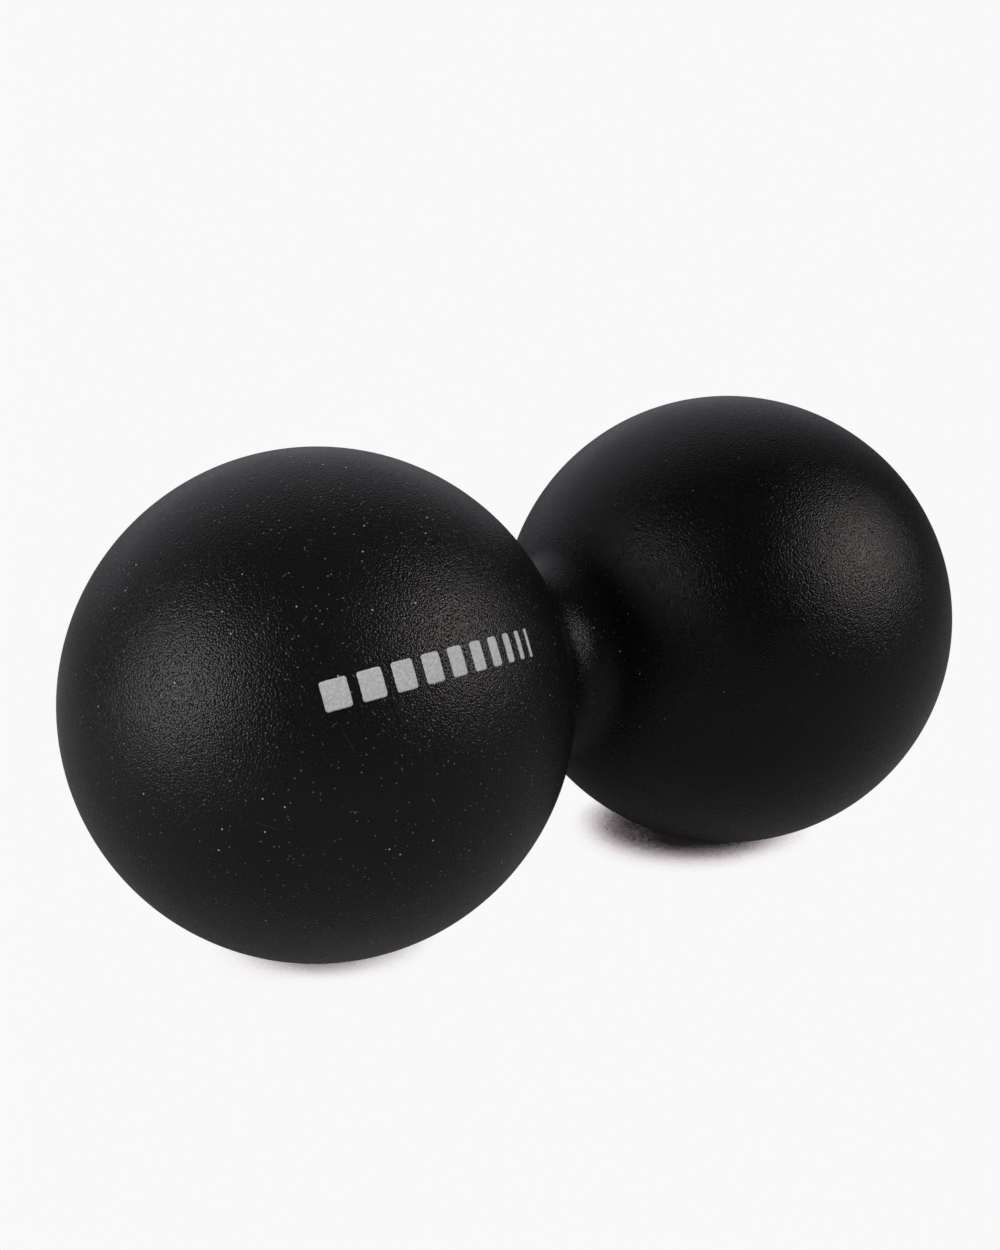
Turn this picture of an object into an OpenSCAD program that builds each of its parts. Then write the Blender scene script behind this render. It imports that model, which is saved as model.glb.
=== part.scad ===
// Double massage ball: two equal balls joined by a narrow waist.
// X runs along the long axis, from the marked ball to the plain one, and Z is up.
// The origin is on the floor, midway between the two balls.
//
// Every piece but the printed mark is round about the long axis. Each one is drawn as a half
// section, with the radius across and the place along the long axis upwards, and then turned.

/* [Balls] */
// Diameter of each ball
ball_d = 63; // [45:1:90]
// Gap between the two spheres, measured on the long axis
ball_gap = 2; // [0:0.5:10]

/* [Waist] */
// Diameter of the waist at its narrowest
waist_d = 23; // [20:0.5:42]

/* [Skin] */
// Wall of the two moulded half skins
skin_wall = 6; // [3:0.5:10]
// Angle of the printed side above the horizontal; the seam lies a quarter turn from it
face_tilt = 24; // [0:1:60]

/* [Cores] */
// Bond line left between glued faces
bond_gap = 0.1; // [0.05:0.05:0.3]
// Width of the flat seat on each core, outside the link's shoulder
seat_rim = 1; // [0.5:0.25:3]

/* [Core link] */
// Diameter of the link where it crosses the waist
link_d = 11; // [9:0.5:16]
// Diameter of the spigot at each end of the link
spigot_d = 8; // [4:0.5:10]
// Depth of each spigot in its core
spigot_depth = 15; // [8:0.5:24]
// Chamfer at the tip of each spigot
spigot_chamfer = 1; // [0.5:0.25:2]

/* [Printed mark] */
// Length of the mark along the ball's surface
mark_length = 28; // [18:1:40]
// Height of the mark
mark_height = 3.4; // [2:0.1:8]
// Turn of the mark on the ball, away from the long axis, in degrees
mark_turn = 3; // [0:0.5:10]
// Number of bars, each narrower than the one before
bar_count = 10; // [4:1:12]
// Space between bars
bar_space = 1.1; // [0.4:0.1:1.5]
// Thickness of the ink
ink_wall = 0.1; // [0.05:0.01:0.3]

/* [Hidden] */
$fn = 128;

skin_colour = [0.08, 0.08, 0.08];
core_colour = [0.22, 0.22, 0.23];
link_colour = [0.72, 0.72, 0.70];
ink_colour = [0.70, 0.72, 0.73];

// Outer form
ball_r = ball_d / 2;
ball_x = (ball_d + ball_gap) / 2;
waist_r = waist_d / 2;
// Radius of the arc that is tangent to both balls and just as wide as the waist leaves it
fillet_r = (ball_x * ball_x + waist_r * waist_r - ball_r * ball_r) / (2 * (ball_r - waist_r));
// The fillet's circle bites this far into each ball, so that the two arcs cross cleanly
fillet_bite = 0.005;

// Cores and link
core_r = ball_r - skin_wall - bond_gap;
link_r = link_d / 2;
spigot_r = spigot_d / 2;
seat_r = link_r + seat_rim;
// Place of each core's flat seat along the long axis
seat_x = ball_x - sqrt(core_r * core_r - seat_r * seat_r);
tip_x = seat_x + spigot_depth;

// Bars of the mark: their widths fall evenly, and the last is a fraction of the first
bar_shares = [for (i = [0 : bar_count - 1]) bar_count + 1 - i];
share_sum = bar_count * (bar_count + 3) / 2;
ink_run = mark_length - (bar_count - 1) * bar_space;
bar_widths = [for (share = bar_shares) ink_run * share / share_sum];

// Sum of a list's first n values
function sum_first(list, n) = n == 0 ? 0 : list[n - 1] + sum_first(list, n - 1);

// Start of bar i along the ball's surface, from the middle of the mark
function bar_start(i) = sum_first(bar_widths, i) + i * bar_space - mark_length / 2;

// Distance across the mark's plane of a point that lies this far round the ball
function across(arc) = ball_r * sin(arc / ball_r * 180 / PI);

// Turned pieces: half sections, with the radius to the right of the axis

// Half disc of radius r whose centre lies at the given place on the axis
module half_disc(r, along) {
    intersection() {
        translate([0, along]) circle(r);
        translate([0, along - 2 * r]) square([2 * r, 4 * r]);
    }
}

// Rectangle that starts on the axis
module half_bar(r, from, to) {
    translate([0, from]) square([r, to - from]);
}

// Outside of the whole body: two balls and the waist between them
module body_section() {
    for (side = [-1, 1]) half_disc(ball_r, side * ball_x);
    difference() {
        polygon([[0, -ball_x], [waist_r + fillet_r, 0], [0, ball_x]]);
        translate([waist_r + fillet_r, 0]) circle(fillet_r + fillet_bite);
    }
}

// Outside of one core, on the plain ball's side, with its flat seat towards the waist
module core_section(grow) {
    intersection() {
        half_disc(core_r + grow, ball_x);
        half_bar(ball_d, seat_x - grow, 2 * ball_d);
    }
}

// Room that the cores and the link take out of the skin
module cavity_section() {
    core_section(bond_gap);
    mirror([0, 1]) core_section(bond_gap);
    half_bar(link_r + bond_gap, -ball_x, ball_x);
}

// Lays a turned piece along X at the height of the balls' centres, rolled about the long axis
module lay_along_x(roll = 0) {
    translate([0, 0, ball_r]) rotate([roll, 0, 0]) rotate([0, 90, 0]) children();
}

// One half of the skin. Before it is rolled, its middle faces +Y
module half_skin() {
    rotate_extrude(angle = 180) difference() {
        body_section();
        cavity_section();
    }
}

// Firm solid ball with a flat seat and a blind bore for the link's spigot
module ball_core() {
    rotate_extrude() difference() {
        core_section(0);
        half_bar(spigot_r + bond_gap, 0, tip_x + bond_gap);
    }
}

// One bar of the mark, as a prism that stands on the mark's plane
module bar_prism(i) {
    left = across(bar_start(i));
    right = across(bar_start(i) + bar_widths[i]);
    translate([left, -mark_height / 2]) linear_extrude(ball_d) square([right - left, mark_height]);
}

// Nodes

module front_skin() {
    color(skin_colour) lay_along_x(180 - face_tilt) half_skin();
}

module rear_skin() {
    color(skin_colour) lay_along_x(-face_tilt) half_skin();
}

module marked_ball_core() {
    color(core_colour) lay_along_x() mirror([0, 0, 1]) ball_core();
}

module plain_ball_core() {
    color(core_colour) lay_along_x() ball_core();
}

module core_link() {
    shoulder_x = seat_x - bond_gap;
    neck_r = spigot_r - spigot_chamfer;
    color(link_colour) lay_along_x() rotate_extrude() polygon([
        [0, -tip_x],
        [neck_r, -tip_x],
        [spigot_r, -tip_x + spigot_chamfer],
        [spigot_r, -shoulder_x],
        [link_r, -shoulder_x],
        [link_r, shoulder_x],
        [spigot_r, shoulder_x],
        [spigot_r, tip_x - spigot_chamfer],
        [neck_r, tip_x],
        [0, tip_x]
    ]);
}

module printed_mark() {
    color(ink_colour) translate([-ball_x, 0, ball_r]) difference() {
        intersection() {
            sphere(ball_r + ink_wall);
            rotate([90 - face_tilt, 0, 0]) rotate([0, 0, mark_turn])
                for (i = [0 : bar_count - 1]) bar_prism(i);
        }
        sphere(ball_r);
    }
}

front_skin();
rear_skin();
marked_ball_core();
plain_ball_core();
core_link();
printed_mark();
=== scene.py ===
# Looks of the double massage ball: its skin, printed mark, materials, studio and camera.
# Everything is in metres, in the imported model's frame. X runs along the long axis, from the
# marked ball to the plain one, Z is up, and the floor is at Z = 0.
import math

import bmesh
import bpy
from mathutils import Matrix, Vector, noise

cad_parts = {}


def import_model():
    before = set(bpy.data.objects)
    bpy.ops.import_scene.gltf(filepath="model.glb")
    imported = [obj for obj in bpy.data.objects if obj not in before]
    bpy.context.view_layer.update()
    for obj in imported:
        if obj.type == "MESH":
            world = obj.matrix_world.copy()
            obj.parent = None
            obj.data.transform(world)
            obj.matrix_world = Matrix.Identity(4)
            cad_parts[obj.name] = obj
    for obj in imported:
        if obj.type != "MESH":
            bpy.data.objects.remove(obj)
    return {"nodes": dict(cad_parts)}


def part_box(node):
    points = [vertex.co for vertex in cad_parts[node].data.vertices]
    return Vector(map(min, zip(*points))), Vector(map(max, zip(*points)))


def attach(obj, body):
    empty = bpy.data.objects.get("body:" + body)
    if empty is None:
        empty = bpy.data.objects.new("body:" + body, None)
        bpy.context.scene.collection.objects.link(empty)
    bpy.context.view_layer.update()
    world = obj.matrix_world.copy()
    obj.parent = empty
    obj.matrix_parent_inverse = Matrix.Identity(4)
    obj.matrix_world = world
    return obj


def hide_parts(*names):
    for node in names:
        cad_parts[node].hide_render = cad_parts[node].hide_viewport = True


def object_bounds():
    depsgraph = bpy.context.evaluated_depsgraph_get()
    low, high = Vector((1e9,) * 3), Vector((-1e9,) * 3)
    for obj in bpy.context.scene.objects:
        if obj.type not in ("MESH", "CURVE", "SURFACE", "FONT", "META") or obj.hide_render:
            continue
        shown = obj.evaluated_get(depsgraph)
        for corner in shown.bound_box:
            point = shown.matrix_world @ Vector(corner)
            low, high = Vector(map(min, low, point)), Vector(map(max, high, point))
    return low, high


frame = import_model()
bpy.context.view_layer.update()
cad_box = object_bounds()

MM = 0.001
# A radius under this is on the axis
ON_AXIS = 1e-9

# ---------------------------------------------------------------- sizes

# The balls rest on the floor, so the height of their centres is their radius
BALL_R = (cad_box[0].z + cad_box[1].z) / 2
BALL_X = cad_box[1].x - BALL_R
CORE_LOW, CORE_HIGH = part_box("plain_ball_core")
LINK_LOW, LINK_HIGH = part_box("core_link")
BOND_GAP = 0.1 * MM
CAVITY_R = CORE_HIGH.x - BALL_X + BOND_GAP
CAVITY_SEAT_X = CORE_LOW.x - BOND_GAP
BORE_R = (LINK_HIGH.z - LINK_LOW.z) / 2 + BOND_GAP
WAIST_R = 11.5 * MM
FILLET_R = (BALL_X**2 + WAIST_R**2 - BALL_R**2) / (2 * (BALL_R - WAIST_R))
# Tilt of the printed side above the horizontal
FACE_TILT = math.radians(24)

# Skin mesh: steps along each half section, and columns round it
BALL_STEPS = 104
NECK_STEPS = 10
SEAT_STEPS = 2
OUTER_TURNS = 124
INNER_TURNS = 48
# The seam is a hairline dip, with columns close together beside it
SEAM_WIDTH = 0.16 * MM
SEAM_DEPTH = 0.015 * MM
SEAM_COLUMNS = [0, 0.04 * MM, 0.08 * MM, 0.16 * MM, 0.3 * MM]
# Slow unevenness of the moulded surface
WAVE_HEIGHT = 0.012 * MM
WAVE_LENGTH = 9 * MM
# Faces that meet at more than this angle have a sharp edge between them
SHARP_ANGLE = math.radians(35)

# Core mesh
SPIGOT_R = 4 * MM
CORE_STEPS = 64
CORE_TURNS = 96
BORE_FLOOR_STEPS = 3
BORE_WALL_STEPS = 12

# Printed mark: a row of bars, each narrower than the one before, turned a little on the ball
MARK_LENGTH = 28 * MM
MARK_HEIGHT = 3.4 * MM
MARK_TURN = math.radians(3)
BAR_COUNT = 10
BAR_SPACE = 1.1 * MM
# The ink stands this far above the ball, its edge starts a little below it, and its base is deeper
INK_WALL = 0.06 * MM
INK_EDGE_SINK = 0.015 * MM
INK_SINK = 0.05 * MM
INK_STEP = 0.11 * MM
INK_EDGE = 0.16 * MM
LEAST_COLUMNS = 6
# Round corners of a bar, and the most of its half width that they take
BAR_CORNER = 0.35 * MM
CORNER_SHARE = 0.6
# How far a bar's edge wanders, over what length, and the shifts that make each bar and direction differ
EDGE_WOBBLE = 0.035 * MM
WOBBLE_LENGTH = 0.5 * MM
WOBBLE_SHIFT = 3 * MM
CROSS_SHIFT = Vector((9.5, 4.5, 0))

# Camera, with its aim given from the middle of the object, across and up in its own view
LENS = 52.27
SENSOR = 36
VIEW_AZIMUTH = math.radians(-33.8)
VIEW_ELEVATION = math.radians(16.87)
VIEW_DISTANCE = 240.6 * MM
AIM_RIGHT = -4.8 * MM
AIM_UP = 4.42 * MM
CLIP_START = 0.01

# Light. Camera and transmission rays see this white
BACKDROP = 0.947
# The other rays see a dim room with one brighter side. It fills the directions within the first
# angle of its middle, and fades out by the second
ROOM_DARK = 0.05
ROOM_BRIGHT = 0.42
PANEL_AZIMUTH = -160
PANEL_ELEVATION = 22
PANEL_FULL = math.radians(20)
PANEL_END = math.radians(55)
PANEL_TINT = (0.98, 0.96, 1.06)
# The floor's painted shadow: it darkens where the object keeps off the low light of both lamps.
# Each look is towards one of them: its azimuth, and how far it reaches. Both rise by the same angle
SHADOW_LOOKS = [(80, 8 * MM), (-58, 70 * MM)]
SHADOW_RISE = 5
SHADOW_SAMPLES = 16
# Only the upper half of the directions round such a look can be blocked
UPPER_SHARE = 0.5
# How little the look differs from place to place
LOOK_DRIFT = 0.01
# The two looks' blocked shares multiplied together, and the painted shadow's colour there
SHADOW_TONES = [
    (0.24, (BACKDROP, BACKDROP, BACKDROP, 1.0)),
    (0.36, (0.81, 0.74, 0.76, 1.0)),
    (0.43, (0.42, 0.36, 0.38, 1.0)),
    (0.49, (0.012, 0.01, 0.01, 1.0)),
]
FLOOR_HALF = 3.0
# Grey of the floor that diffuse and glossy rays see. It falls to the last share towards this
# azimuth, from the near distance to the far one: painted shade on the floor behind the object
FLOOR_LEVEL = 0.31
FADE_AZIMUTH = 150
FADE_NEAR = 30 * MM
FADE_FAR = 250 * MM
FADE_SHARE = 0.4
# Share of the seen white floor in what glossy rays see
FLOOR_GLOSS_SHARE = 0.05
# Name, azimuth, elevation, distance, width, height, power, colour, and whether reflections show it
SOFT_BOXES = [
    ("left_box", -58, 17, 0.8, 0.37, 0.46, 3.2, (1.035, 0.988, 0.977), True),
    ("right_box", 80, 29, 1.6, 0.74, 0.72, 10.5, (1.06, 0.988, 0.953), True),
    ("front_fill", 10, 48, 1.2, 1.0, 1.0, 8, (1.0, 0.99, 0.98), False),
]

# Finishes. A cloud is noise whose values between these two are spread out, and held beyond them
CLOUD_LOW = 0.3
CLOUD_HIGH = 0.7
# Specks and strokes are full up to this share of their radius or width, and then fade out
FULL_SHARE = 0.4
# A stroke is full up to this share of its length from its middle, and ends at half of it
STROKE_FULL = 0.3

# Skin
SKIN_LEVEL = 0.001
SKIN_ROUGH = 0.28
ROUGH_SPREAD = 0.02
ROUGH_LENGTH = 5 * MM
SKIN_IOR = 1.36
MOTTLE_LENGTH = 14 * MM
MOTTLE_SPREAD = 0.15

# Leathery grain: its height, the cells and their wander, and a finer noise on top
GRAIN_HEIGHT = 0.06 * MM
GRAIN_CELL = 0.25 * MM
WANDER_LENGTH = 0.4 * MM
WANDER = 0.15 * MM
FINE_LENGTH = 0.18 * MM
FINE_SHARE = 0.25

# Film on the skin: partly dust, partly painted light that makes the marked ball lighter. It and the
# strokes and specks below fade from the marked ball to a share on the plain one
DUST_AND_LIGHT_FILM = 0.0045
DUST_AND_LIGHT_TINT = (1.0, 0.96, 0.95)
DUST_FADE = 18 * MM
FAR_DUST = 0.12
# Strokes: size of a cell, length, width, and share of the cells that hold one
SCRATCHES = (9 * MM, 3.5 * MM, 0.06 * MM, 0.25)
SCRATCH_STRENGTH = 0.35
SCRATCH_LEVEL = 0.04
LINT = (5 * MM, 0.9 * MM, 0.04 * MM, 0.06)
LINT_STRENGTH = 0.4
LINT_LEVEL = 0.2
# Specks: size of a cell, radius, and share of the cells that hold one
HAZE = (0.7 * MM, 0.12 * MM, 0.5)
HAZE_STRENGTH = 0.6
HAZE_LEVEL = 0.2
DUST = (1.7 * MM, 0.13 * MM, 0.35)
DUST_LEVEL = 0.5

# Scuff, low on the marked ball. It doesn't fade
SCUFF_AZIMUTH = 8
SCUFF_ELEVATION = -18
SCUFF_REACH = 7 * MM
SCUFF_LENGTH = 0.4 * MM
SCUFF_STRENGTH = 0.2
SCUFF_LEVEL = 0.05

# Ink
INK_LEVEL = 0.45
INK_TINT = (0.96, 1.0, 1.02)
INK_SPREAD = (0.8, 1.15)
INK_MOTTLE_LENGTH = 0.3 * MM
INK_ROUGH = 0.6
INK_GRAIN_LENGTH = 0.34 * MM
INK_GRAIN_HEIGHT = 0.5 * GRAIN_HEIGHT
PINHOLES = (1.1 * MM, 0.13 * MM, 0.3)
PINHOLE_STRENGTH = 0.75
PINHOLE_LEVEL = 0.05

# Cores and link
CORE_LEVELS = (0.032, 0.05)
CORE_CLOUD_LENGTH = 9 * MM
CORE_ROUGH = 0.8
CORE_GRAIN_LENGTH = 0.8 * MM
CORE_GRAIN_HEIGHT = 0.08 * MM
# Pores: their pits are darkened in colour, a painted shade
PORES = (0.9 * MM, 0.3 * MM, 0.6)
PORE_STRENGTH = 0.5
PORE_SHADE_LEVEL = 0.012
LINK_DARK = (0.47, 0.46, 0.42, 1.0)
LINK_LIGHT = (0.56, 0.55, 0.51, 1.0)
LINK_CLOUD_LENGTH = 6 * MM
LINK_ROUGH = (0.4, 0.5)
LINK_ROUGH_LENGTH = 2 * MM
LINK_GRAIN_LENGTH = 0.5 * MM
LINK_GRAIN_HEIGHT = 0.01 * MM


# ---------------------------------------------------------------- mesh helpers


def arc(centre_x, centre_r, radius, start, end, steps, outward=1):
    """Points of an arc in the half section, as (x, r, normal x, normal r), from one angle to another."""
    points = []
    for i in range(steps + 1):
        angle = start + (end - start) * i / steps
        c = math.cos(angle)
        s = math.sin(angle)
        points.append((centre_x + radius * c, centre_r + radius * s, outward * c, outward * s))
    return points


def line(start, end, normal, steps):
    """Points of a straight stretch of the half section, with one normal."""
    points = []
    for i in range(steps + 1):
        t = i / steps
        x = start[0] + (end[0] - start[0]) * t
        r = start[1] + (end[1] - start[1]) * t
        points.append((x, r, *normal))
    return points


def mirrored(half):
    """The whole section, from the marked ball's pole to the plain ball's, from its plain half."""
    other = [(-x, r, -nx, nr) for x, r, nx, nr in reversed(half)]
    return other[:-1] + half


def outer_section():
    """Outside of the body: the waist's fillet and the ball, tangent to each other."""
    tangent = math.atan2(WAIST_R + FILLET_R, BALL_X)
    neck = arc(0, WAIST_R + FILLET_R, FILLET_R, -math.pi / 2, -tangent, NECK_STEPS, -1)
    ball = arc(BALL_X, 0, BALL_R, math.pi - tangent, 0, BALL_STEPS)
    return mirrored(neck + ball[1:])


def cavity_section():
    """Room for the link and a core: bore, seat and ball."""
    seat_r = math.sqrt(CAVITY_R**2 - (BALL_X - CAVITY_SEAT_X) ** 2)
    start = math.pi - math.asin(seat_r / CAVITY_R)
    bore = line((0, BORE_R), (CAVITY_SEAT_X, BORE_R), (0, 1), NECK_STEPS - SEAT_STEPS)
    seat = line((CAVITY_SEAT_X, BORE_R), (CAVITY_SEAT_X, seat_r), (-1, 0), SEAT_STEPS)
    ball = arc(BALL_X, 0, CAVITY_R, start, 0, BALL_STEPS)
    return mirrored(bore + seat[1:] + ball[1:])


def outer_turns():
    """Angles of the outer surface's columns, close together beside the two seams."""
    near = [width / BALL_R for width in SEAM_COLUMNS]
    first = near[-1]
    step = (math.pi - 2 * first) / OUTER_TURNS
    middle = [first + step * i for i in range(1, OUTER_TURNS)]
    return near + middle + [math.pi - angle for angle in reversed(near)]


def inner_turns():
    """Angles of the cavity's columns, evenly spaced."""
    return [math.pi * i / INNER_TURNS for i in range(INNER_TURNS + 1)]


def seam_dip(distance):
    """Depth of the hairline at the seam, at this distance from it along the surface."""
    left = max(0.0, 1 - distance / SEAM_WIDTH)
    return SEAM_DEPTH * left * left


def wave(point):
    """Faint unevenness of the moulded surface."""
    return WAVE_HEIGHT * noise.noise(point / WAVE_LENGTH)


def turned(x, r, angle, roll):
    """Point of the half section, turned about the long axis and rolled."""
    a = angle + roll
    return Vector((x, r * math.cos(a), BALL_R + r * math.sin(a)))


def new_object(name, vertices, faces, smooth):
    """Mesh object from lists of vertices and faces. smooth holds one flag for each face."""
    mesh = bpy.data.meshes.new(name)
    mesh.from_pydata([tuple(v) for v in vertices], [], faces)
    mesh.polygons.foreach_set("use_smooth", smooth)
    mesh.validate()
    mesh.update()
    obj = bpy.data.objects.new(name, mesh)
    bpy.context.scene.collection.objects.link(obj)
    return obj


def grid_indices(section, turns, first):
    """Vertex numbers of a turned grid, row by row. A point on the axis is one shared vertex."""
    rows = []
    number = first
    for x, r, _, _ in section:
        if r < ON_AXIS:
            rows.append([number] * len(turns))
            number += 1
        else:
            rows.append(list(range(number, number + len(turns))))
            number += len(turns)
    return rows, number


def grid_faces(rows, flip):
    """Faces between neighbouring rows and columns, with triangles at the poles."""
    faces = []
    for low, high in zip(rows, rows[1:]):
        for j in range(len(low) - 1):
            ring = [low[j], high[j], high[j + 1], low[j + 1]]
            face = [v for i, v in enumerate(ring) if v != ring[i - 1]]
            faces.append(face[::-1] if flip else face)
    return faces


def strip_faces(outer, inner, flip):
    """The flat parting face between the ends of the outer rows and of the cavity's."""
    faces = []
    for i in range(len(outer) - 1):
        face = [outer[i], inner[i], inner[i + 1], outer[i + 1]]
        faces.append(face[::-1] if flip else face)
    return faces


# ---------------------------------------------------------------- pieces


def half_skin(name, roll):
    """One moulded half of the skin: outside, cavity and the parting faces that close it."""
    outside = outer_section()
    cavity = cavity_section()
    vertices = []
    outer_angles = outer_turns()
    for x, r, nx, nr in outside:
        for angle in outer_angles[: 1 if r < ON_AXIS else None]:
            from_seam = r * min(angle, math.pi - angle)
            point = turned(x, r, angle, roll)
            lift = wave(point) - (seam_dip(from_seam) if r > ON_AXIS else 0)
            vertices.append(turned(x + nx * lift, max(0, r + nr * lift), angle, roll))
    for x, r, _, _ in cavity:
        for angle in inner_turns()[: 1 if r < ON_AXIS else None]:
            vertices.append(turned(x, r, angle, roll))
    outer_rows, count = grid_indices(outside, outer_angles, 0)
    inner_rows, _ = grid_indices(cavity, inner_turns(), count)
    curved = grid_faces(outer_rows, True) + grid_faces(inner_rows, False)
    first = strip_faces([row[0] for row in outer_rows], [row[0] for row in inner_rows], True)
    last = strip_faces([row[-1] for row in outer_rows], [row[-1] for row in inner_rows], False)
    flat = first + last
    skin = new_object(name, vertices, curved + flat, [True] * len(curved) + [False] * len(flat))
    sharpen(skin.data)
    return skin


def ball_core(name, side):
    """Firm core on one side: a ball with a flat seat and a blind bore for the link's spigot."""
    radius = CORE_HIGH.x - BALL_X
    seat_x = CORE_LOW.x
    seat_r = math.sqrt(radius**2 - (BALL_X - seat_x) ** 2)
    floor_x = LINK_HIGH.x + BOND_GAP
    bore_r = SPIGOT_R + BOND_GAP
    section = line((floor_x, 0), (floor_x, bore_r), (-1, 0), BORE_FLOOR_STEPS)
    section += line((floor_x, bore_r), (seat_x, bore_r), (0, -1), BORE_WALL_STEPS)[1:]
    section += line((seat_x, bore_r), (seat_x, seat_r), (-1, 0), SEAT_STEPS)[1:]
    section += arc(BALL_X, 0, radius, math.pi - math.asin(seat_r / radius), 0, CORE_STEPS)[1:]
    turns = [2 * math.pi * i / CORE_TURNS for i in range(CORE_TURNS)]
    vertices = []
    for x, r, _, _ in section:
        vertices += [turned(side * x, r, angle, 0) for angle in turns[: 1 if r < ON_AXIS else None]]
    rows, _ = grid_indices(section, turns, 0)
    faces = grid_faces([row + row[:1] for row in rows], side > 0)
    core = new_object(name, vertices, faces, [True] * len(faces))
    sharpen(core.data)
    return core


def sharpen(mesh):
    """Marks the edges whose faces meet at a clear angle."""
    shape = bmesh.new()
    shape.from_mesh(mesh)
    for edge in shape.edges:
        edge.smooth = edge.calc_face_angle() < SHARP_ANGLE
    shape.to_mesh(mesh)
    shape.free()


def bar_spans():
    """Start and end of each bar along the ball's surface, from the mark's middle."""
    run = MARK_LENGTH - (BAR_COUNT - 1) * BAR_SPACE
    shares = [BAR_COUNT + 1 - i for i in range(BAR_COUNT)]
    spans = []
    start = -MARK_LENGTH / 2
    for share in shares:
        end = start + run * share / sum(shares)
        spans.append((start, end))
        start = end + BAR_SPACE
    return spans


def rounded(u, v, half_width, half_height, corner):
    """Maps a point of the rectangle to one of the same rectangle with round corners."""
    du = abs(u) - (half_width - corner)
    dv = abs(v) - (half_height - corner)
    if du <= 0 or dv <= 0:
        return u, v
    shrink = max(du, dv) / math.hypot(du, dv)
    return (
        math.copysign(half_width - corner + du * shrink, u),
        math.copysign(half_height - corner + dv * shrink, v),
    )


def on_marked_ball(arc_place, up, radius):
    """Point on the marked ball, by its place in the mark: along the arc, and up across the mark."""
    side = Vector((0, -math.cos(FACE_TILT), math.sin(FACE_TILT)))
    level = Vector((1, 0, 0))
    rise = side.cross(level)
    along = level * math.cos(MARK_TURN) + rise * math.sin(MARK_TURN)
    across = BALL_R * math.sin(arc_place / BALL_R)
    depth = math.sqrt(BALL_R**2 - across**2 - up**2)
    direction = along * across + side.cross(along) * up + side * depth
    return Vector((-BALL_X, 0, BALL_R)) + direction.normalized() * radius


def ink_bar(start, end, shift):
    """Top and base grids of one bar of ink, with soft edges that wander a little, and their sizes."""
    half_width = (end - start) / 2
    half_height = MARK_HEIGHT / 2
    corner = min(BAR_CORNER, half_width * CORNER_SHARE)
    columns = max(LEAST_COLUMNS, round(2 * half_width / INK_STEP))
    rows = round(MARK_HEIGHT / INK_STEP)
    top = []
    base = []
    for j in range(rows + 1):
        for i in range(columns + 1):
            u = half_width * (2 * i / columns - 1)
            v = half_height * (2 * j / rows - 1)
            inside = min(half_width - abs(u), half_height - abs(v))
            u, v = rounded(u, v, half_width, half_height, corner)
            where = Vector((u, v, shift)) / WOBBLE_LENGTH
            painted_shade = max(0.0, 1 - inside / (2 * INK_EDGE))
            u += EDGE_WOBBLE * painted_shade * noise.noise(where)
            v += EDGE_WOBBLE * painted_shade * noise.noise(where + CROSS_SHIFT)
            place = (start + end) / 2 + u
            rise = min(1.0, inside / INK_EDGE)
            rise = rise * (2 - rise)
            lift = (INK_WALL + INK_EDGE_SINK) * rise - INK_EDGE_SINK
            top.append(on_marked_ball(place, v, BALL_R + lift))
            base.append(on_marked_ball(place, v, BALL_R - INK_SINK))
    return top, base, columns, rows


def printed_mark():
    """The whole mark, as one object that holds a closed solid for each bar."""
    vertices = []
    faces = []
    for number, (start, end) in enumerate(bar_spans()):
        top, base, columns, rows = ink_bar(start, end, number * WOBBLE_SHIFT)
        first = len(vertices)
        vertices += top + base
        faces += plate_faces(first, columns, rows)
    return new_object("printed_mark_ink", vertices, faces, [True] * len(faces))


def plate_faces(first, columns, rows):
    """Faces of a closed plate: its top grid, the same grid below it, and the four sides."""
    wide = columns + 1
    below = first + wide * (rows + 1)
    faces = []
    for j in range(rows):
        for i in range(columns):
            a = first + j * wide + i
            b = below + j * wide + i
            faces.append([a, a + 1, a + 1 + wide, a + wide])
            faces.append([b, b + wide, b + 1 + wide, b + 1])
    rim = list(range(columns))
    rim += [columns + j * wide for j in range(rows)]
    rim += [rows * wide + columns - i for i in range(columns)]
    rim += [(rows - j) * wide for j in range(rows)]
    for a, b in zip(rim, rim[1:] + rim[:1]):
        faces.append([first + b, first + a, below + a, below + b])
    return faces


# ---------------------------------------------------------------- material helpers


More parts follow.
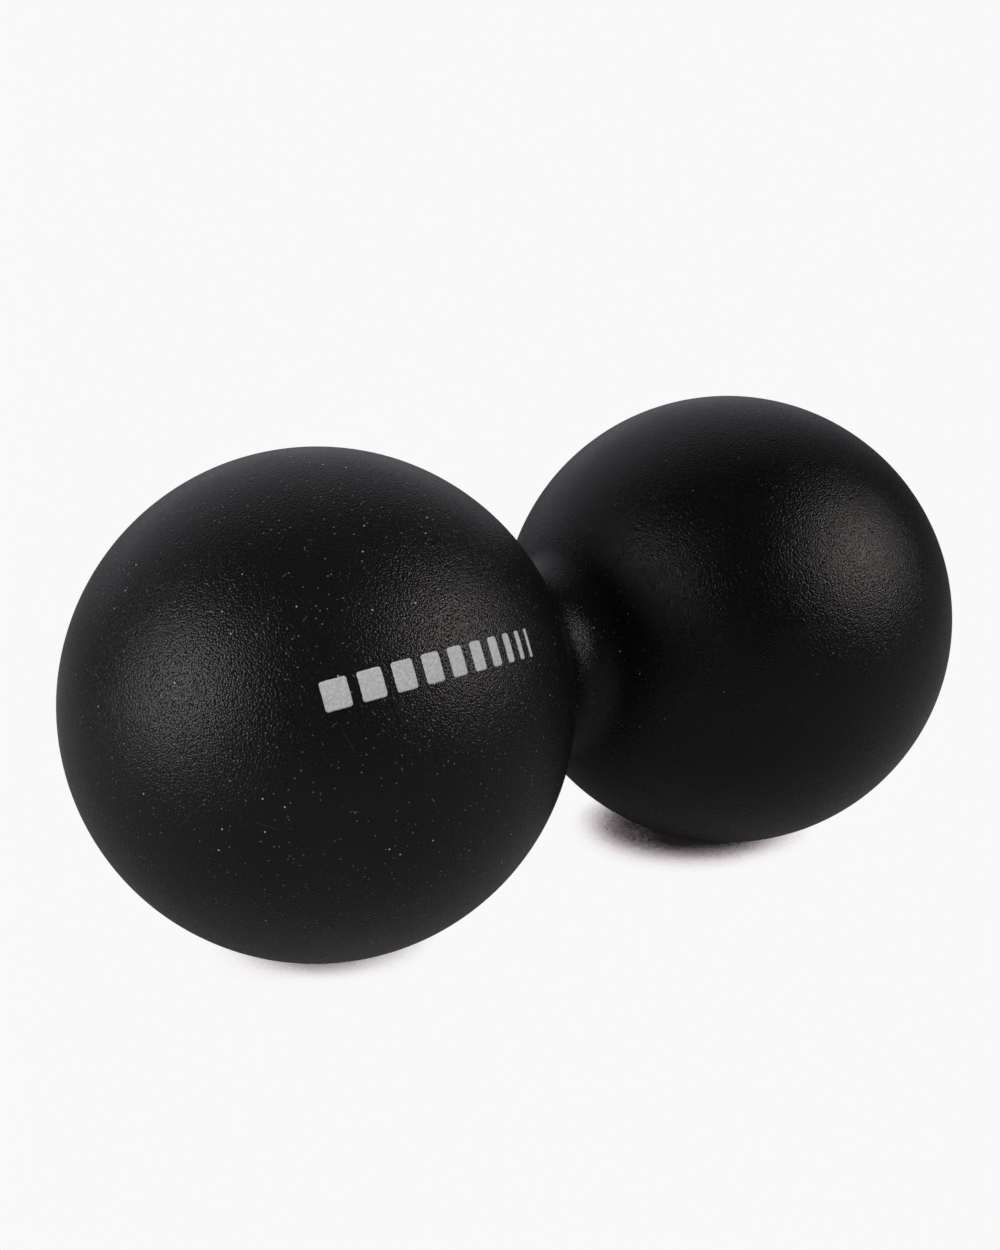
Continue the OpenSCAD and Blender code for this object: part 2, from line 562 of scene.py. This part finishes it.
class Nodes:
    """The node tree of a material or the world, with short calls for the nodes that repeat."""

    def __init__(self, owner):
        owner.use_nodes = True
        self.tree = owner.node_tree
        self.tree.nodes.clear()

    def add(self, kind, **settings):
        """New node of this kind."""
        node = self.tree.nodes.new(kind)
        for key, value in settings.items():
            setattr(node, key, value)
        return node

    def put(self, socket, value):
        """Links a socket to the input, or sets the input's own value."""
        if isinstance(value, bpy.types.NodeSocket):
            self.tree.links.new(value, socket)
        else:
            socket.default_value = value

    def math(self, operation, *values):
        """Result of a math node."""
        node = self.add("ShaderNodeMath", operation=operation)
        for socket, value in zip(node.inputs, values):
            self.put(socket, value)
        return node.outputs[0]

    def product(self, *values):
        """All the values multiplied together."""
        result = values[0]
        for value in values[1:]:
            result = self.math("MULTIPLY", result, value)
        return result

    def vector(self, operation, *values):
        """Result of a vector math node."""
        node = self.add("ShaderNodeVectorMath", operation=operation)
        for socket, value in zip(node.inputs, values):
            self.put(socket, value)
        return node.outputs["Value" if operation in ("DOT_PRODUCT", "DISTANCE") else "Vector"]

    def ramp(self, value, low, high, to_low=0.0, to_high=1.0):
        """Value carried smoothly from one range to another, and held at its ends."""
        node = self.add("ShaderNodeMapRange", interpolation_type="SMOOTHSTEP")
        numbers = (value, low, high, to_low, to_high)
        for key, number in zip(("Value", "From Min", "From Max", "To Min", "To Max"), numbers):
            self.put(node.inputs[key], number)
        return node.outputs[0]

    def noise(self, where, length, detail=2.0, output="Fac"):
        """Noise whose largest features are about this long."""
        node = self.add("ShaderNodeTexNoise")
        self.put(node.inputs["Vector"], where)
        self.put(node.inputs["Scale"], 1 / length)
        self.put(node.inputs["Detail"], detail)
        return node.outputs[output]

    def cloud(self, where, length, detail, to_low=0.0, to_high=1.0):
        """Noise spread out over this range of values."""
        return self.ramp(self.noise(where, length, detail), CLOUD_LOW, CLOUD_HIGH, to_low, to_high)

    def cells(self, where, length):
        """Voronoi texture whose cells are about this long."""
        node = self.add("ShaderNodeTexVoronoi")
        self.put(node.inputs["Vector"], where)
        self.put(node.inputs["Scale"], 1 / length)
        return node.outputs

    def mix(self, share, first, second):
        """Colour between the first, at share 0, and the second, at share 1."""
        node = self.add("ShaderNodeMix", data_type="RGBA")
        sockets = {socket.identifier: socket for socket in node.inputs}
        self.put(sockets["Factor_Float"], share)
        self.put(sockets["A_Color"], first)
        self.put(sockets["B_Color"], second)
        return next(socket for socket in node.outputs if socket.identifier == "Result_Color")

    def tones(self, value, stops):
        """Colour ramp through these stops, each a place and its colour."""
        node = self.add("ShaderNodeValToRGB")
        elements = node.color_ramp.elements
        while len(elements) < len(stops):
            elements.new(0.5)
        for element, (place, colour) in zip(elements, stops):
            element.position = place
            element.color = colour
        self.put(node.inputs["Fac"], value)
        return node.outputs["Color"]

    def bump(self, height, distance):
        """Normal of a surface that this height raises by up to this distance."""
        node = self.add("ShaderNodeBump")
        self.put(node.inputs["Height"], height)
        self.put(node.inputs["Distance"], distance)
        return node.outputs[0]

    def mix_shaders(self, share, first, second):
        """Shader between the first, at share 0, and the second, at share 1."""
        node = self.add("ShaderNodeMixShader")
        for socket, value in zip(node.inputs, (share, first, second)):
            self.put(socket, value)
        return node.outputs[0]

    def principled(self, colour, roughness, normal, ior=1.5):
        """Principled shader. Its refractive index is the same all over, so it stays on the socket."""
        shader = self.add("ShaderNodeBsdfPrincipled")
        self.put(shader.inputs["Base Color"], colour)
        self.put(shader.inputs["Roughness"], roughness)
        self.put(shader.inputs["Normal"], normal)
        self.put(shader.inputs["IOR"], ior)
        return shader.outputs[0]

    def finish(self, shader, output="ShaderNodeOutputMaterial"):
        """Links the shader to the tree's output."""
        self.put(self.add(output).inputs["Surface"], shader)


def grey(level, tint=(1.0, 1.0, 1.0)):
    """Linear colour of this level, with a slight tint."""
    return (level * tint[0], level * tint[1], level * tint[2], 1.0)


def specks(n, where, cell, radius, share):
    """Mask of round specks, at most one to a cell, in this share of the cells."""
    found = n.cells(where, cell)
    pick = n.vector("DOT_PRODUCT", found["Color"], (1.0, 0.0, 0.0))
    near = n.ramp(found["Distance"], FULL_SHARE * radius / cell, radius / cell, 1.0, 0.0)
    return n.product(near, n.math("LESS_THAN", pick, share))


def strokes(n, where, normal, cell, length, width, share):
    """Mask of short straight strokes that lie in the surface, in this share of the cells."""
    found = n.cells(where, cell)
    offset = n.vector("SUBTRACT", where, found["Position"])
    random = n.vector("SUBTRACT", found["Color"], (0.5, 0.5, 0.5))
    along = n.vector("NORMALIZE", n.vector("CROSS_PRODUCT", normal, random))
    across = n.vector("CROSS_PRODUCT", normal, along)
    far = n.math("ABSOLUTE", n.vector("DOT_PRODUCT", offset, along))
    aside = n.math("ABSOLUTE", n.vector("DOT_PRODUCT", offset, across))
    body = n.ramp(aside, FULL_SHARE * width, width, 1.0, 0.0)
    ends = n.ramp(far, STROKE_FULL * length, 0.5 * length, 1.0, 0.0)
    pick = n.vector("DOT_PRODUCT", found["Color"], (0.0, 0.0, 1.0))
    return n.product(body, ends, n.math("LESS_THAN", pick, share))


# ---------------------------------------------------------------- materials


def new_material(name):
    """Empty material, its nodes, and the outputs that give a place and normal on the piece itself."""
    material = bpy.data.materials.new(name)
    n = Nodes(material)
    return material, n, n.add("ShaderNodeTexCoord").outputs


def skin_material():
    """Matte black moulded rubber: leathery grain, with most of the dust and wear on the marked ball, and
    a pale film there that is partly dust and partly painted light.
    """
    material, n, place = new_material("skin_rubber")
    where = place["Object"]
    along = n.vector("DOT_PRODUCT", where, (1.0, 0.0, 0.0))
    marked_share = n.ramp(along, -DUST_FADE, DUST_FADE, 1.0, FAR_DUST)
    # Pale film, partly dust and partly painted light, lighter on the marked ball
    film = n.mix(marked_share, grey(SKIN_LEVEL), grey(DUST_AND_LIGHT_FILM, DUST_AND_LIGHT_TINT))
    mottle = n.cloud(where, MOTTLE_LENGTH, 3.0, 1 - MOTTLE_SPREAD, 1 + MOTTLE_SPREAD)
    colour = n.mix(scuff(n, where), n.vector("MULTIPLY", film, mottle), grey(SCUFF_LEVEL))
    colour = worn(n, place, marked_share, colour)
    rough = n.cloud(where, ROUGH_LENGTH, 4.0, SKIN_ROUGH - ROUGH_SPREAD, SKIN_ROUGH + ROUGH_SPREAD)
    n.finish(n.principled(colour, rough, n.bump(grain(n, where), GRAIN_HEIGHT), SKIN_IOR))
    return material


def worn(n, place, marked_share, colour):
    """The colour with scratches, lint, a haze of fine specks and dust on it, as far as it is handled."""
    where = place["Object"]
    scratches = strokes(n, where, place["Normal"], *SCRATCHES)
    colour = n.mix(n.product(scratches, marked_share, SCRATCH_STRENGTH), colour, grey(SCRATCH_LEVEL))
    lint = strokes(n, where, place["Normal"], *LINT)
    colour = n.mix(n.product(lint, marked_share, LINT_STRENGTH), colour, grey(LINT_LEVEL))
    haze = specks(n, where, *HAZE)
    colour = n.mix(n.product(haze, marked_share, HAZE_STRENGTH), colour, grey(HAZE_LEVEL))
    dust = specks(n, where, *DUST)
    return n.mix(n.product(dust, marked_share), colour, grey(DUST_LEVEL))


def scuff(n, where):
    """Mask of the light scuff: fine noise that fades out from the scuff's middle."""
    middle = Vector((-BALL_X, 0, BALL_R)) + BALL_R * around(SCUFF_AZIMUTH, SCUFF_ELEVATION)
    patch = n.ramp(n.vector("DISTANCE", where, tuple(middle)), 0.0, SCUFF_REACH, 1.0, 0.0)
    rubbed = n.ramp(n.noise(where, SCUFF_LENGTH, 3.0), 0.45, 0.75)
    return n.product(patch, rubbed, SCUFF_STRENGTH)


def grain(n, where):
    """Height of the leathery grain: fine pebbles with wavy valleys between them."""
    wander = n.vector("MULTIPLY", n.noise(where, WANDER_LENGTH, 1.0, "Color"), (WANDER, WANDER, WANDER))
    aside = n.cells(n.vector("ADD", where, wander), GRAIN_CELL)["Distance"]
    fine = n.product(n.noise(where, FINE_LENGTH, 1.0), FINE_SHARE)
    return n.math("SUBTRACT", fine, n.product(aside, aside))


def ink_material():
    """Thin light grey ink: fine mottling, a slightly uneven face, and pinholes that show the rubber."""
    material, n, place = new_material("mark_ink")
    where = place["Object"]
    low, high = INK_SPREAD
    mottle = n.ramp(n.noise(where, INK_MOTTLE_LENGTH, 3.0), 0.25, 0.75)
    colour = n.mix(mottle, grey(low * INK_LEVEL, INK_TINT), grey(high * INK_LEVEL, INK_TINT))
    pinholes = specks(n, where, *PINHOLES)
    colour = n.mix(n.product(pinholes, PINHOLE_STRENGTH), colour, grey(PINHOLE_LEVEL))
    normal = n.bump(n.noise(where, INK_GRAIN_LENGTH), INK_GRAIN_HEIGHT)
    n.finish(n.principled(colour, INK_ROUGH, normal))
    return material


def core_material():
    """Plain moulded dark grey foam rubber: closed cells whose pits are darkened as painted shade, and a
    slightly uneven tone.
    """
    material, n, place = new_material("core_rubber")
    where = place["Object"]
    dark, light = CORE_LEVELS
    colour = n.mix(n.cloud(where, CORE_CLOUD_LENGTH, 4.0), grey(dark), grey(light))
    pores = specks(n, where, *PORES)
    # Darker pores: painted shade in their pits
    colour = n.mix(n.product(pores, PORE_STRENGTH), colour, grey(PORE_SHADE_LEVEL))
    height = n.math("SUBTRACT", n.noise(where, CORE_GRAIN_LENGTH, 3.0), pores)
    n.finish(n.principled(colour, CORE_ROUGH, n.bump(height, CORE_GRAIN_HEIGHT)))
    return material


def link_material():
    """Natural nylon: off-white, faintly clouded, with a satin moulded face."""
    material, n, place = new_material("link_nylon")
    where = place["Object"]
    colour = n.mix(n.cloud(where, LINK_CLOUD_LENGTH, 3.0), LINK_DARK, LINK_LIGHT)
    rough = n.cloud(where, LINK_ROUGH_LENGTH, 3.0, *LINK_ROUGH)
    normal = n.bump(n.noise(where, LINK_GRAIN_LENGTH), LINK_GRAIN_HEIGHT)
    n.finish(n.principled(colour, rough, normal))
    return material


def floor_material():
    """White floor that merges with the background, with the object's soft shadow painted into what
    camera rays see, and painted shade behind the object in the grey that other rays see.
    """
    material = bpy.data.materials.new("floor_white")
    n = Nodes(material)
    seen = n.add("ShaderNodeEmission")
    # Painted shadow: occlusion picks a darker colour for what camera and transmission rays see
    dark = n.product(*(blocked(n, azimuth, reach) for azimuth, reach in SHADOW_LOOKS))
    n.put(seen.inputs["Color"], n.tones(dark, SHADOW_TONES))
    # The grey falls off behind the object: painted shade
    place = n.add("ShaderNodeNewGeometry").outputs["Position"]
    away = n.vector("DOT_PRODUCT", place, tuple(around(FADE_AZIMUTH, 0)))
    painted_shade = n.ramp(away, FADE_NEAR, FADE_FAR, 1.0, FADE_SHARE)
    lit = n.add("ShaderNodeBsdfDiffuse")
    n.put(lit.inputs["Color"], n.vector("MULTIPLY", grey(FLOOR_LEVEL)[:3], painted_shade))
    n.finish(n.mix_shaders(seen_directly(n), lit.outputs[0], seen.outputs[0]))
    return material


def blocked(n, azimuth, reach):
    """Share of the low light from this side that something within reach keeps off the floor."""
    # The look isn't quite the same all over, because Cycles leaves out a constant normal
    place = n.add("ShaderNodeNewGeometry").outputs["Position"]
    drift = n.vector("MULTIPLY", place, (LOOK_DRIFT, LOOK_DRIFT, LOOK_DRIFT))
    look = n.vector("NORMALIZE", n.vector("ADD", drift, tuple(around(azimuth, SHADOW_RISE))))
    occlusion = n.add("ShaderNodeAmbientOcclusion", samples=SHADOW_SAMPLES)
    n.put(occlusion.inputs["Distance"], reach)
    n.put(occlusion.inputs["Normal"], look)
    return n.product(n.math("SUBTRACT", 1.0, occlusion.outputs["AO"]), 1 / UPPER_SHARE)


def seen_directly(n):
    """1 for camera and transmission rays, a share for glossy ones, and 0 for the diffuse ones."""
    path = n.add("ShaderNodeLightPath").outputs
    gloss = n.math("MULTIPLY", path["Is Glossy Ray"], FLOOR_GLOSS_SHARE)
    through = n.math("MAXIMUM", path["Is Camera Ray"], path["Is Transmission Ray"])
    return n.math("MAXIMUM", through, gloss)


# ---------------------------------------------------------------- studio


def view_axes():
    """The camera's right, up and back directions."""
    a = VIEW_AZIMUTH
    e = VIEW_ELEVATION
    back = Vector((math.sin(a) * math.cos(e), -math.cos(a) * math.cos(e), math.sin(e)))
    right = Vector((math.cos(a), math.sin(a), 0))
    return right, back.cross(right), back


def placed(name, data, target, out, distance):
    """Object for this camera or lamp, at this distance from its target, looking back at it."""
    obj = bpy.data.objects.new(name, data)
    obj.location = target + out * distance
    obj.rotation_mode = "QUATERNION"
    obj.rotation_quaternion = (-out).to_track_quat("-Z", "Y")
    bpy.context.scene.collection.objects.link(obj)
    return obj


def camera():
    """The scene's camera, level, near the object and a little above it."""
    right, up, back = view_axes()
    aim = Vector((0, 0, BALL_R)) + right * AIM_RIGHT + up * AIM_UP
    data = bpy.data.cameras.new("camera")
    data.lens = LENS
    data.sensor_width = SENSOR
    data.clip_start = CLIP_START
    bpy.context.scene.camera = placed("camera", data, aim, back, VIEW_DISTANCE)


def world():
    """White to the camera and through clear things. Other rays see a dim room with one brighter side."""
    studio = bpy.data.worlds.new("studio")
    bpy.context.scene.world = studio
    n = Nodes(studio)
    direction = n.add("ShaderNodeTexCoord").outputs["Generated"]
    facing = n.vector("DOT_PRODUCT", direction, around(PANEL_AZIMUTH, PANEL_ELEVATION))
    level = n.ramp(facing, math.cos(PANEL_END), math.cos(PANEL_FULL), ROOM_DARK, ROOM_BRIGHT)
    room = n.add("ShaderNodeBackground")
    n.put(room.inputs["Color"], grey(1.0, PANEL_TINT))
    n.put(room.inputs["Strength"], level)
    backdrop = n.add("ShaderNodeBackground")
    n.put(backdrop.inputs["Color"], grey(BACKDROP))
    path = n.add("ShaderNodeLightPath").outputs
    through = n.math("MAXIMUM", path["Is Camera Ray"], path["Is Transmission Ray"])
    shader = n.mix_shaders(through, room.outputs[0], backdrop.outputs[0])
    n.finish(shader, "ShaderNodeOutputWorld")


def around(azimuth, elevation):
    """Direction from the object. Azimuth 0 is towards the camera's side, and 90 to its right."""
    _, _, back = view_axes()
    turn = math.atan2(back.y, back.x) + math.radians(azimuth)
    rise = math.radians(elevation)
    return Vector((math.cos(turn) * math.cos(rise), math.sin(turn) * math.cos(rise), math.sin(rise)))


def soft_box(name, azimuth, elevation, distance, width, height, power, colour, shown):
    """Area lamp that faces the object."""
    data = bpy.data.lights.new(name, "AREA")
    data.shape = "RECTANGLE"
    data.size = width
    data.size_y = height
    data.energy = power
    data.color = colour
    lamp = placed(name, data, Vector((0, 0, BALL_R)), around(azimuth, elevation), distance)
    lamp.visible_glossy = shown


def floor():
    """Large floor plane under the object."""
    half = FLOOR_HALF
    corners = [(-half, -half, 0), (half, -half, 0), (half, half, 0), (-half, half, 0)]
    plane = new_object("floor", corners, [(0, 1, 2, 3)], [False])
    plane.data.materials.append(floor_material())


# ---------------------------------------------------------------- build


def dress(obj, material):
    """Gives a piece its material."""
    obj.data.materials.clear()
    obj.data.materials.append(material)


def stand_in(piece, node, material):
    """Dresses a piece, and puts it in the place of its CAD node."""
    dress(piece, material)
    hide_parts(node)
    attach(piece, "root")


def build_skins():
    """The two moulded halves of the skin, on the printed side and on the other."""
    material = skin_material()
    for node, roll in (("front_skin", math.pi - FACE_TILT), ("rear_skin", -FACE_TILT)):
        stand_in(half_skin(node + "_moulding", roll), node, material)


def build_cores():
    """The two firm cores."""
    material = core_material()
    for node, side in (("marked_ball_core", -1), ("plain_ball_core", 1)):
        stand_in(ball_core(node + "_moulding", side), node, material)


def build_studio():
    """Backdrop, floor, lamps and camera."""
    world()
    floor()
    for box in SOFT_BOXES:
        soft_box(*box)
    camera()
    bpy.context.scene.view_settings.view_transform = "Standard"


def write_size():
    """Updates the view layer."""
    bpy.context.view_layer.update()


build_skins()
stand_in(printed_mark(), "printed_mark", ink_material())
build_cores()
dress(frame["nodes"]["core_link"], link_material())
build_studio()
write_size()
